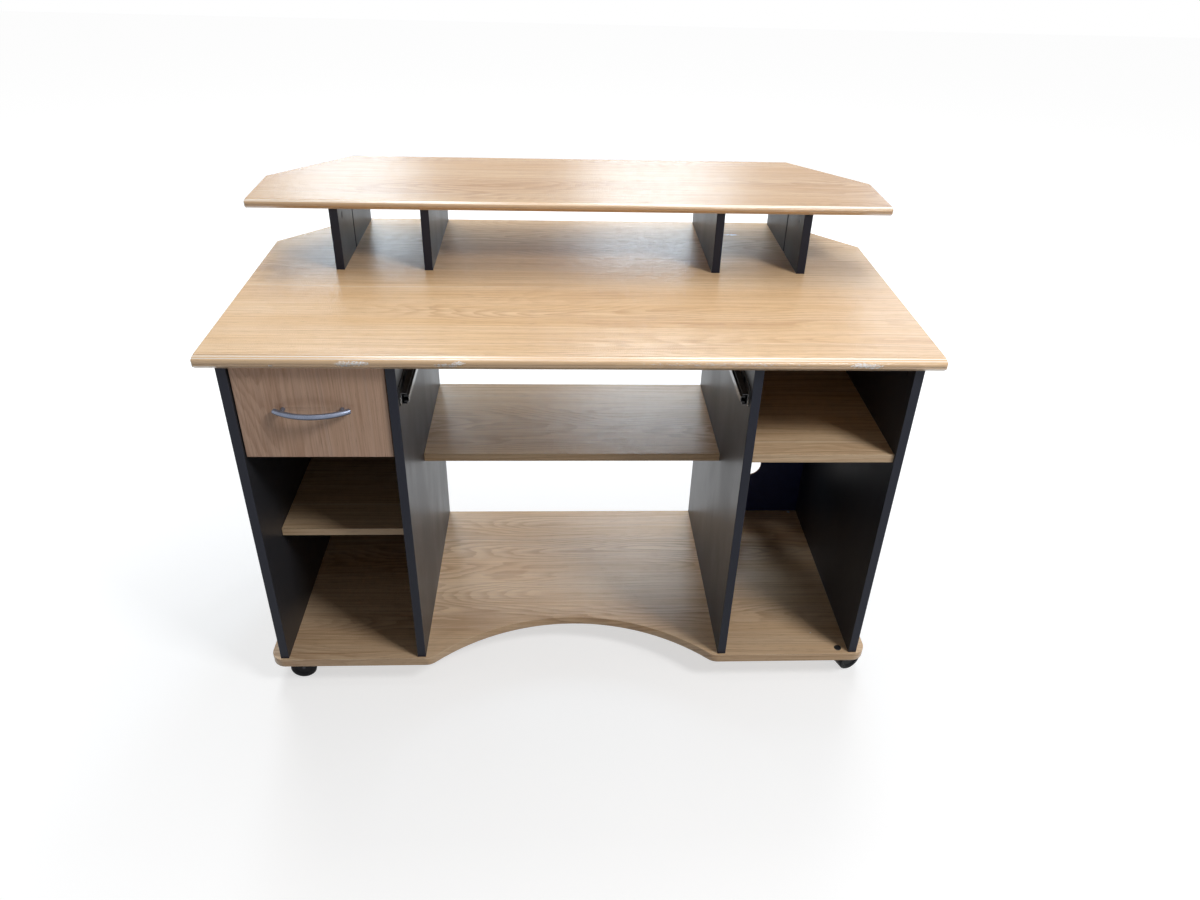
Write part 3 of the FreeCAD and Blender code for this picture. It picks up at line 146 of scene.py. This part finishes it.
def oak(name, along="X", seed=0.0, specular=0.25, gloss=0.18, painted_shade_and_tint=(1.0, 1.0, 1.0), contrast=1.0,
        edge_radius=0.0018, nose=None, depth=1.0, marks=None):
    """Oak patterned foil: bands, nested arcs of growth rings, thin streaks, fibres, pores and a fine emboss.

    The per-board factor on the foil's colours darkens the riser's, worktop's and drawer front's foil as painted
    shade and lightens the base's as painted light, to offset how brightly each is lit, with a little tint too.
    nose is the place in Y where the moulded front begins; there the colour is made lighter as painted light and
    two pale lines are painted highlights. depth is the nose's size against the worktop's, and marks a function
    that adds wear. A pale painted highlight is laid along the edges.
    """
    shader = Shader(name, Specular_IOR_Level=specular)
    light, middle, bright, dark, deep = [tuple(part * share for part, share in zip(tone, painted_shade_and_tint)) + (1.0,)
                                         for tone in (OAK_LIGHT, OAK_MIDDLE, OAK_PALE, OAK_DARK, OAK_PORE)]
    u, v = grain_plane(shader, along)

    def field(along_scale, across_scale, offset, **more):
        spot = shader.vector(shader.math("MULTIPLY", u, along_scale), shader.math("MULTIPLY", v, across_scale),
                             seed + offset)
        return shader.noise(spot, **more)

    sway = field(1.6, 6, 0.0, detail=2)
    v = shader.math("ADD", v, shader.swing(sway, 0.03))
    waver = shader.swing(field(9, 70, 3.0, detail=2), 0.05)
    hills = shader.math("ADD", field(1.7, 9, 5.0, detail=1, rough=0.35), waver)
    turns = shader.math("FRACT", shader.math("MULTIPLY", hills, RING_COUNT))
    rings = shader.math("MULTIPLY", shader.fade(turns, 0.25, 0.86), shader.fade(turns, 1.0, 0.90))
    where = shader.fade(field(1.1, 6, 9.0, detail=1), 0.42, 0.60)
    rings = shader.math("MULTIPLY", rings, where)
    lines = shader.fade(shader.away(field(0.55, 75, 14.0, detail=3, rough=0.55), 0.5), 0.035, 0.0)
    bands = shader.fade(field(0.6, 16, 2.0, detail=3, rough=0.6), 0.34, 0.66)
    streaks = shader.fade(field(0.9, 80, 17.0, detail=3, rough=0.6), 0.52, 0.72)
    pale = shader.fade(field(0.4, 42, 21.0, detail=2, rough=0.5), 0.60, 0.74)
    fibres = shader.fade(field(5, 300, 12.0, detail=4, rough=0.65), 0.38, 0.70)
    pores = shader.fade(field(34, 1000, 25.0, detail=2), 0.60, 0.72)
    tone = shader.mix(shader.math("MULTIPLY", bands, contrast), light, middle)
    tone = shader.mix(shader.math("MULTIPLY", pale, 0.50), tone, bright)
    tone = shader.mix(shader.math("MULTIPLY", streaks, 0.16 * contrast), tone, dark)
    tone = shader.mix(shader.math("MULTIPLY", rings, 0.44 * contrast), tone, dark)
    tone = shader.mix(shader.math("MULTIPLY", lines, 0.28 * contrast), tone, dark)
    tone = shader.mix(shader.math("MULTIPLY", fibres, 0.33), tone, dark)
    tone = shader.mix(shader.math("MULTIPLY", pores, 0.35), tone, deep)
    relief = shader.noise(shader.place, scale=520, detail=2, rough=0.6)
    shine = shader.fade(fibres, 0.0, 1.0, gloss, gloss + 0.06)
    height = shader.math("ADD", relief, shader.math("MULTIPLY", pores, -0.4))
    # painted highlight: a pale colour laid along the board's edges
    tone = shader.mix(shader.math("MULTIPLY", shader.arris(edge_radius), 0.60), tone, bright)
    if nose:
        length, across = shader.split(shader.place)[:2]
        sides = shader.fade(shader.math("ABSOLUTE", length), 0.06, 0.24, 0.25, 1.0)
        # painted light: the moulded front of the nose is made lighter and warmer
        over = shader.fade(across, nose + 0.0015, nose + 0.0003)
        tone = shader.mix(shader.math("MULTIPLY", over, 0.45), tone, NOSE_LIGHTENING)
        # painted highlights: two pale lines along the nose, weaker toward the middle of its length
        for behind, half, share in NOSE_HIGHLIGHT_LINES:
            highlight_line = shader.away(across, nose - behind * depth)
            highlight_line = shader.math("MULTIPLY", shader.fade(highlight_line, half, half * 0.4), sides)
            tone = shader.mix(shader.math("MULTIPLY", highlight_line, share), tone, NOSE_HIGHLIGHT)
        shader.set("Specular IOR Level", shader.fade(over, 0.0, 1.0, specular, 0.7))
    if marks:
        tone, shine, height = marks(shader, tone, shine, height)
    shader.set("Base Color", tone)
    shader.set("Roughness", shine)
    shader.bump(height, OAK_EMBOSS)
    return shader.material


# chips in the foil of the worktop's nose: middle and half size in X and Z, in metres
CHIPS = (((-0.363, 0.7314), (0.019, 0.0048)), ((-0.342, 0.7324), (0.016, 0.0040)),
         ((-0.206, 0.7296), (0.018, 0.0038)), ((-0.187, 0.7332), (0.013, 0.0030)),
         ((0.457, 0.7324), (0.016, 0.0040)), ((0.477, 0.7312), (0.018, 0.0044)),
         ((-0.478, 0.7284), (0.004, 0.0016)))
NOSE_FACE = -0.3255


def nose_marks(shader, tone, gloss, height):
    """Chipped foil and rubbed places on the worktop's nose, and a scratch at the rear."""
    x, y, z = shader.split(shader.place)
    ragged = shader.noise(shader.place, scale=260, detail=4, rough=0.7)
    fine = shader.noise(shader.vector(shader.math("MULTIPLY", x, 120.0), shader.math("MULTIPLY", z, 700.0), y),
                        detail=3, rough=0.7)

    def patch(middle, half, reach, axes=(x, z)):
        """1 inside a ragged ellipse, 0 outside."""
        steps = [shader.math("DIVIDE", shader.math("SUBTRACT", part, at), size)
                 for part, at, size in zip(axes, middle, half)]
        far = shader.math("ADD", shader.math("POWER", steps[0], 2.0), shader.math("POWER", steps[1], 2.0))
        far = shader.math("ADD", far, shader.swing(ragged, 4.5))
        return shader.fade(far, reach, reach - 0.25)

    front = shader.math("LESS_THAN", y, NOSE_FACE)
    chips = 0.0
    for middle, half in CHIPS:
        chips = shader.math("MAXIMUM", chips, patch(middle, half, 0.85))
    chips = shader.math("MULTIPLY", chips, front)
    rubbed = shader.math("MULTIPLY", patch((0.235, 0.7330), (0.13, 0.0026), 0.9),
                         shader.fade(fine, 0.46, 0.6))
    rubbed = shader.math("MULTIPLY", rubbed, front)
    scratch = patch((0.343, 0.262), (0.014, 0.0045), 0.95, axes=(x, y))
    curl = shader.noise(shader.place, scale=330, detail=2, rough=0.5, bend=0.6)
    curl = shader.fade(shader.away(curl, 0.5), 0.085, 0.04, 0.30, 1.0)
    inside = shader.mix(shader.fade(fine, 0.4, 0.6), colour(248, 247, 248), colour(255, 255, 255))
    tone = shader.mix(shader.math("MULTIPLY", chips, curl), tone, inside)
    tone = shader.mix(shader.math("MULTIPLY", rubbed, 0.6), tone, colour(240, 234, 232))
    tone = shader.mix(shader.math("MULTIPLY", scratch, 0.9), tone, colour(255, 255, 255))
    gloss = shader.math("ADD", gloss, shader.math("MULTIPLY", chips, 0.30))
    height = shader.math("SUBTRACT", height, shader.math("MULTIPLY", chips, 0.4))
    # the torn foil curls upward, so it is shaded as if it faced the ceiling
    upward = shader.vector(0.0, shader.math("MULTIPLY", chips, -1.0), shader.math("MULTIPLY", chips, 3.0))
    turned = shader.node("VectorMath", {0: shader.rounded, 1: upward}, operation="ADD").outputs[0]
    shader.rounded = shader.node("VectorMath", {0: turned}, operation="NORMALIZE").outputs[0]
    return tone, gloss, height


def base_marks(shader, tone, gloss, height):
    """Three small bare specks on the base board."""
    x, y = shader.split(shader.place)[:2]
    ragged = shader.noise(shader.place, scale=420, detail=3, rough=0.7)
    for middle, radius in (((0.537, 0.158), 0.006), ((0.492, -0.260), 0.0022), ((-0.31, -0.05), 0.0015)):
        far = shader.math("ADD", shader.math("POWER", shader.math("SUBTRACT", x, middle[0]), 2.0),
                          shader.math("POWER", shader.math("SUBTRACT", y, middle[1]), 2.0))
        far = shader.math("DIVIDE", shader.math("SQRT", far), radius)
        far = shader.math("ADD", far, shader.swing(ragged, 3.0))
        tone = shader.mix(shader.fade(far, 0.8, 0.5), tone, colour(232, 226, 220))
    return tone, gloss, height


WORKTOP_NOSE_START = -0.3155
RISER_NOSE_START = 0.0437
# the worktop's foil is darkened and warmed, and the riser's darkened more: painted shade against the strong light
# on them
paint(oak("oak_worktop", seed=1.0, specular=0.13, gloss=0.13, painted_shade_and_tint=(0.93, 0.905, 0.86), contrast=0.8,
          nose=WORKTOP_NOSE_START, marks=nose_marks), "worktop")
paint(oak("oak_riser", seed=31.0, specular=0.11, gloss=0.15, painted_shade_and_tint=(0.67, 0.62, 0.58), contrast=0.85,
          nose=RISER_NOSE_START, depth=0.73), "riser_shelf")
# the base's foil is lightened a little: painted light
paint(oak("oak_base", seed=53.0, painted_shade_and_tint=(1.04, 1.03, 1.05), marks=base_marks), "base_board")
paint(oak("oak_centre_shelf", seed=71.0), "centre_shelf")
paint(oak("oak_left_shelf", seed=93.0), "left_shelf")
paint(oak("oak_right_shelf", seed=117.0), "right_shelf")
# the drawer front's foil is darkened as painted shade and tinted pink
paint(oak("oak_drawer_front", along="Z", seed=140.0, painted_shade_and_tint=(0.92, 0.84, 0.95), contrast=0.65), "drawer_front")


# ---- charcoal foil

def charcoal(name, seed):
    """Charcoal foil with a fine emboss, faint dust, a bluish edging on the front edges and a painted highlight on
    all edges.
    """
    shader = Shader(name, Specular_IOR_Level=0.22)
    x, y, z = shader.split(shader.place)
    ny = shader.split(shader.facing)[1]
    fleck = shader.noise(shader.place, scale=900, detail=2)
    drift = shader.vector(x, shader.math("MULTIPLY", y, 2.0), shader.math("ADD", z, seed))
    cloud = shader.noise(drift, scale=5, detail=4)
    face = shader.mix(shader.fade(cloud, 0.35, 0.7), colour(47, 48, 52), colour(54, 54, 58))
    face = shader.mix(shader.fade(fleck, 0.55, 0.75, 0.0, 0.25), face, colour(84, 84, 90))
    edge = shader.mix(shader.fade(fleck, 0.4, 0.8), colour(32, 35, 48), colour(38, 42, 57))
    front = shader.math("LESS_THAN", ny, -0.6)
    tone = shader.mix(front, face, edge)
    # painted highlight: a light grey laid along the panel's edges
    tone = shader.mix(shader.math("MULTIPLY", shader.arris(0.0014), 0.35), tone, colour(120, 121, 128))
    shader.set("Base Color", tone)
    shader.set("Roughness", shader.fade(cloud, 0.3, 0.7, 0.34, 0.42))
    shader.bump(shader.noise(shader.place, scale=620, detail=2, rough=0.6), 0.00010)
    return shader.material


paint(charcoal("charcoal_uprights", 0.0), "side_panel_left", "divider_left", "divider_right", "side_panel_right")
paint(charcoal("charcoal_supports", 7.0), "riser_support_outer_left", "riser_support_inner_left",
      "riser_support_inner_right", "riser_support_outer_right")


# ---- thin backs and the drawer's board

def backboard():
    """Thin fibreboard: dark foil to the front, bare brown fibres to the rear."""
    shader = Shader("fibreboard", Specular_IOR_Level=0.4)
    ny = shader.split(shader.facing)[1]
    clumps = shader.noise(shader.place, scale=160, detail=5, rough=0.7)
    threads = shader.noise(shader.place, scale=1500, detail=3, rough=0.7)
    bare = shader.mix(shader.fade(clumps, 0.3, 0.7), colour(121, 88, 60), colour(142, 106, 74))
    bare = shader.mix(shader.fade(threads, 0.5, 0.75, 0.0, 0.5), bare, colour(88, 62, 42))
    foil = shader.mix(shader.fade(clumps, 0.3, 0.7), colour(18, 30, 72), colour(23, 36, 82))
    front = shader.math("LESS_THAN", ny, -0.5)
    shader.set("Base Color", shader.mix(front, bare, foil))
    shader.set("Roughness", shader.math("SUBTRACT", 0.8, shader.math("MULTIPLY", front, 0.42)))
    shader.bump(threads, 0.00012)
    return shader.material


def drawer_foil():
    """Grey flecked foil of the drawer box."""
    shader = Shader("drawer_foil", Specular_IOR_Level=0.45)
    fleck = shader.noise(shader.place, scale=700, detail=3)
    shader.set("Base Color", shader.mix(shader.fade(fleck, 0.3, 0.7), colour(70, 71, 75), colour(80, 81, 85)))
    shader.set("Roughness", shader.fade(fleck, 0.3, 0.7, 0.42, 0.52))
    shader.bump(fleck, 0.00008)
    return shader.material


paint(backboard(), "back_panel_left", "back_panel_right", "drawer_bottom")
paint(drawer_foil(), "drawer_side_left", "drawer_side_right", "drawer_back")


# ---- metals and plastics

CASTOR_PLACES = ("front_left", "front_right", "rear_left", "rear_right")
SIDES = ("left", "right")


def metal(name, low, high, rough, grain, metallic=1.0, coat=0.0, underside_painted_shade=None):
    """Metal or painted metal with fine grain and uneven gloss, and painted shade underneath where an underside
    tone is given.
    """
    shader = Shader(name, Metallic=metallic, Coat_Weight=coat, Coat_Roughness=0.15)
    fine = shader.noise(shader.place, scale=grain, detail=3, rough=0.6)
    wide = shader.noise(shader.place, scale=45, detail=3)
    tone = shader.mix(shader.fade(wide, 0.3, 0.7), low, high)
    if underside_painted_shade:
        # painted shade: the faces that look downward are darkened toward the underside tone
        tone = shader.mix(shader.fade(shader.split(shader.facing)[2], 0.35, -0.75), tone, underside_painted_shade)
    shader.set("Base Color", tone)
    shader.set("Roughness", shader.fade(fine, 0.3, 0.7, rough - 0.05, rough + 0.07))
    shader.bump(fine, 0.00003)
    return shader.material


def plastic(name, low, high, rough, grain=1100, depth=0.00005, specular=0.5):
    """Moulded plastic with a fine spark-eroded grain and faint dust."""
    shader = Shader(name, Specular_IOR_Level=specular)
    fine = shader.noise(shader.place, scale=grain, detail=2)
    wide = shader.noise(shader.place, scale=38, detail=4)
    shader.set("Base Color", shader.mix(shader.fade(wide, 0.35, 0.7), low, high))
    shader.set("Roughness", shader.fade(wide, 0.3, 0.7, rough - 0.04, rough + 0.08))
    shader.bump(fine, depth)
    return shader.material


# the handle gets painted shade on its underside
paint(metal("satin_paint", colour(128, 137, 158), colour(145, 154, 176), 0.30, 1400, metallic=0.6,
            underside_painted_shade=colour(38, 42, 54)), "drawer_handle")
paint(metal("zinc", colour(176, 176, 172), colour(196, 196, 192), 0.32, 800),
      "panel_screws", "handle_screws", "shelf_pins", "castor_plates")
paint(metal("axle_steel", colour(58, 58, 62), colour(70, 70, 74), 0.30, 1200),
      *["castor_axle_" + word for word in CASTOR_PLACES])
paint(metal("black_enamel", colour(20, 20, 24), colour(28, 28, 32), 0.30, 900, metallic=0.0, coat=0.4),
      *["keyboard_%s_%s" % (part, side) for part in ("bracket", "channel", "slide") for side in SIDES])
paint(metal("white_enamel", colour(222, 222, 220), colour(230, 230, 228), 0.36, 900, metallic=0.0),
      *["drawer_%s_%s" % (part, side) for part in ("rail", "runner") for side in SIDES])
paint(plastic("roller_white", colour(226, 226, 222), colour(236, 236, 232), 0.38),
      *["%s_roller_%s" % (part, side) for part in ("rail", "runner") for side in SIDES])
paint(plastic("cage_plastic", colour(60, 62, 66), colour(72, 74, 78), 0.45),
      "keyboard_ball_cage_left", "keyboard_ball_cage_right")
paint(plastic("black_plastic", colour(20, 20, 23), colour(30, 30, 33), 0.42), "cam_locks", "base_cap")
paint(plastic("castor_black", colour(9, 10, 15), colour(18, 19, 24), 0.36, specular=0.2),
      *["castor_hood_" + word for word in CASTOR_PLACES])
paint(plastic("wheel_black", colour(9, 10, 16), colour(19, 20, 26), 0.42, specular=0.15),
      *["castor_wheel_%s_%s" % (word, end) for word in CASTOR_PLACES for end in ("fore", "aft")])


# ---- soft arrises on the boards, so that their edges catch the light

ARRIS = 0.0005


def soften(name):
    """Joins the split corners of a node's mesh and bevels its sharp edges a little."""
    thing = nodes[name]
    weld = thing.modifiers.new("weld", "WELD")
    weld.merge_threshold = 0.00001
    bevel = thing.modifiers.new("arris", "BEVEL")
    bevel.width = ARRIS
    bevel.segments = 2
    bevel.limit_method = "ANGLE"
    bevel.angle_limit = math.radians(40)
    bevel.harden_normals = True
    bevel.use_clamp_overlap = True


for label in ("worktop", "riser_shelf", "left_shelf", "right_shelf", "centre_shelf", "base_board", "drawer_front",
              "riser_support_inner_left", "riser_support_inner_right"):
    soften(label)


# ---- stage, light and camera

FLOOR_HALF = 9.0
# the floor's own glow, for the seen rays, rises between two distances from the middle of the desk
FLOOR_RADII = (0.7, 2.4)
FLOOR_GLOW = (0.62, 0.92)
WORLD_LIGHT = 0.11


def seen_rays(tree):
    """1 for the rays that show the white background: those of the camera, of gloss and through clear things."""
    ray = tree.nodes.new("ShaderNodeLightPath")
    share = ray.outputs["Is Camera Ray"]
    for kind in ("Is Glossy Ray", "Is Transmission Ray"):
        both = tree.nodes.new("ShaderNodeMath")
        both.operation = "MAXIMUM"
        tree.links.new(share, both.inputs[0])
        tree.links.new(ray.outputs[kind], both.inputs[1])
        share = both.outputs[0]
    return share


def stage_material():
    """A pale floor that shows as nearly white, with the desk's soft shadow on it."""
    material = bpy.data.materials.new("pale_floor")
    material.use_nodes = True
    tree = material.node_tree
    tree.nodes.clear()
    lit = tree.nodes.new("ShaderNodeBsdfDiffuse")
    lit.inputs["Color"].default_value = (0.5, 0.5, 0.5, 1.0)
    place = tree.nodes.new("ShaderNodeTexCoord")
    far = tree.nodes.new("ShaderNodeVectorMath")
    far.operation = "LENGTH"
    tree.links.new(place.outputs["Object"], far.inputs[0])
    level = tree.nodes.new("ShaderNodeMapRange")
    level.interpolation_type = "SMOOTHSTEP"
    tree.links.new(far.outputs["Value"], level.inputs["Value"])
    for name, value in zip(("From Min", "From Max", "To Min", "To Max"), FLOOR_RADII + FLOOR_GLOW):
        level.inputs[name].default_value = value
    seen = tree.nodes.new("ShaderNodeMath")
    seen.operation = "MULTIPLY"
    tree.links.new(seen_rays(tree), seen.inputs[0])
    tree.links.new(level.outputs[0], seen.inputs[1])
    glow = tree.nodes.new("ShaderNodeEmission")
    tree.links.new(seen.outputs[0], glow.inputs["Strength"])
    both = tree.nodes.new("ShaderNodeAddShader")
    tree.links.new(lit.outputs[0], both.inputs[0])
    tree.links.new(glow.outputs[0], both.inputs[1])
    out = tree.nodes.new("ShaderNodeOutputMaterial")
    tree.links.new(both.outputs[0], out.inputs["Surface"])
    return material


floor_mesh = bpy.data.meshes.new("floor")
floor_mesh.from_pydata([(-FLOOR_HALF, -FLOOR_HALF, 0), (FLOOR_HALF, -FLOOR_HALF, 0), (FLOOR_HALF, FLOOR_HALF, 0),
                        (-FLOOR_HALF, FLOOR_HALF, 0)], [], [(0, 1, 2, 3)])
floor = bpy.data.objects.new("floor", floor_mesh)
scene.collection.objects.link(floor)
floor.data.materials.append(stage_material())

world = bpy.data.worlds.new("studio")
scene.world = world
world.use_nodes = True
sky = world.node_tree
sky.nodes.clear()
strength = sky.nodes.new("ShaderNodeMapRange")
sky.links.new(seen_rays(sky), strength.inputs["Value"])
strength.inputs["To Min"].default_value = WORLD_LIGHT
strength.inputs["To Max"].default_value = 1.0
ground = sky.nodes.new("ShaderNodeBackground")
sky.links.new(strength.outputs[0], ground.inputs["Strength"])
ground.inputs["Color"].default_value = (1.0, 1.0, 1.0, 1.0)
world_out = sky.nodes.new("ShaderNodeOutputWorld")
sky.links.new(ground.outputs[0], world_out.inputs["Surface"])


def lamp(name, place, target, width, height, power, tint=(1.0, 1.0, 1.0)):
    """A soft rectangular lamp that looks at the target."""
    light = bpy.data.lights.new(name, "AREA")
    light.shape = "RECTANGLE"
    light.size = width
    light.size_y = height
    light.energy = power
    light.color = tint
    thing = bpy.data.objects.new(name, light)
    thing.location = place
    thing.rotation_euler = (Vector(target) - Vector(place)).to_track_quat("-Z", "Y").to_euler()
    scene.collection.objects.link(thing)


# place, what it looks at, width, height, watts and tint
DAYLIGHT = (0.68, 0.85, 1.0)
lamp("ceiling", (0.0, 0.35, 3.0), (0.0, 0.25, 0.0), 2.4, 1.9, 29)
lamp("strip_left", (-1.05, 1.5, 2.85), (-1.05, 0.2, 0.7), 0.8, 1.6, 21)
lamp("strip_right", (1.05, 1.5, 2.85), (1.05, 0.2, 0.7), 0.6, 1.6, 15)
lamp("key", (1.93, -1.6, 2.9), (0.0, -0.1, 0.3), 0.8, 0.8, 48)
lamp("window_left", (-0.96, 2.5, 1.80), (-0.4, 0.2, 0.9), 0.56, 0.9, 11, DAYLIGHT)
lamp("window_right", (0.43, 2.5, 2.15), (0.2, 0.1, 0.6), 0.66, 1.6, 25, DAYLIGHT)
lamp("window_far_right", (1.82, 2.5, 1.85), (0.5, 0.0, 0.8), 0.70, 1.1, 8, (0.66, 0.82, 1.0))

# the camera that was solved from the photograph: radians, pixels of the 1200 x 900 frame, metres, millimetres
YAW, PITCH, ROLL = 0.0572184, -0.5706477, 0.0306908
FOCAL_PIXELS = 903.119
FRAME_PIXELS = 1200
CAMERA_PLACE = (-0.03246, -1.60759, 1.39227)
SENSOR_WIDTH = 36.0
forward = Vector((math.sin(YAW) * math.cos(PITCH), math.cos(YAW) * math.cos(PITCH), math.sin(PITCH)))
level = Vector((math.cos(YAW), -math.sin(YAW), 0.0))
upright = level.cross(forward)
right = math.cos(ROLL) * level + math.sin(ROLL) * upright
up = -math.sin(ROLL) * level + math.cos(ROLL) * upright
camera_data = bpy.data.cameras.new("camera")
camera_data.sensor_width = SENSOR_WIDTH
camera_data.lens = SENSOR_WIDTH * FOCAL_PIXELS / FRAME_PIXELS
camera_data.clip_start = 0.05
camera = bpy.data.objects.new("camera", camera_data)
turn = Matrix((right, up, -forward)).transposed().to_4x4()
camera.matrix_world = Matrix.Translation(Vector(CAMERA_PLACE)) @ turn
scene.collection.objects.link(camera)
scene.camera = camera
scene.view_settings.view_transform = "Standard"
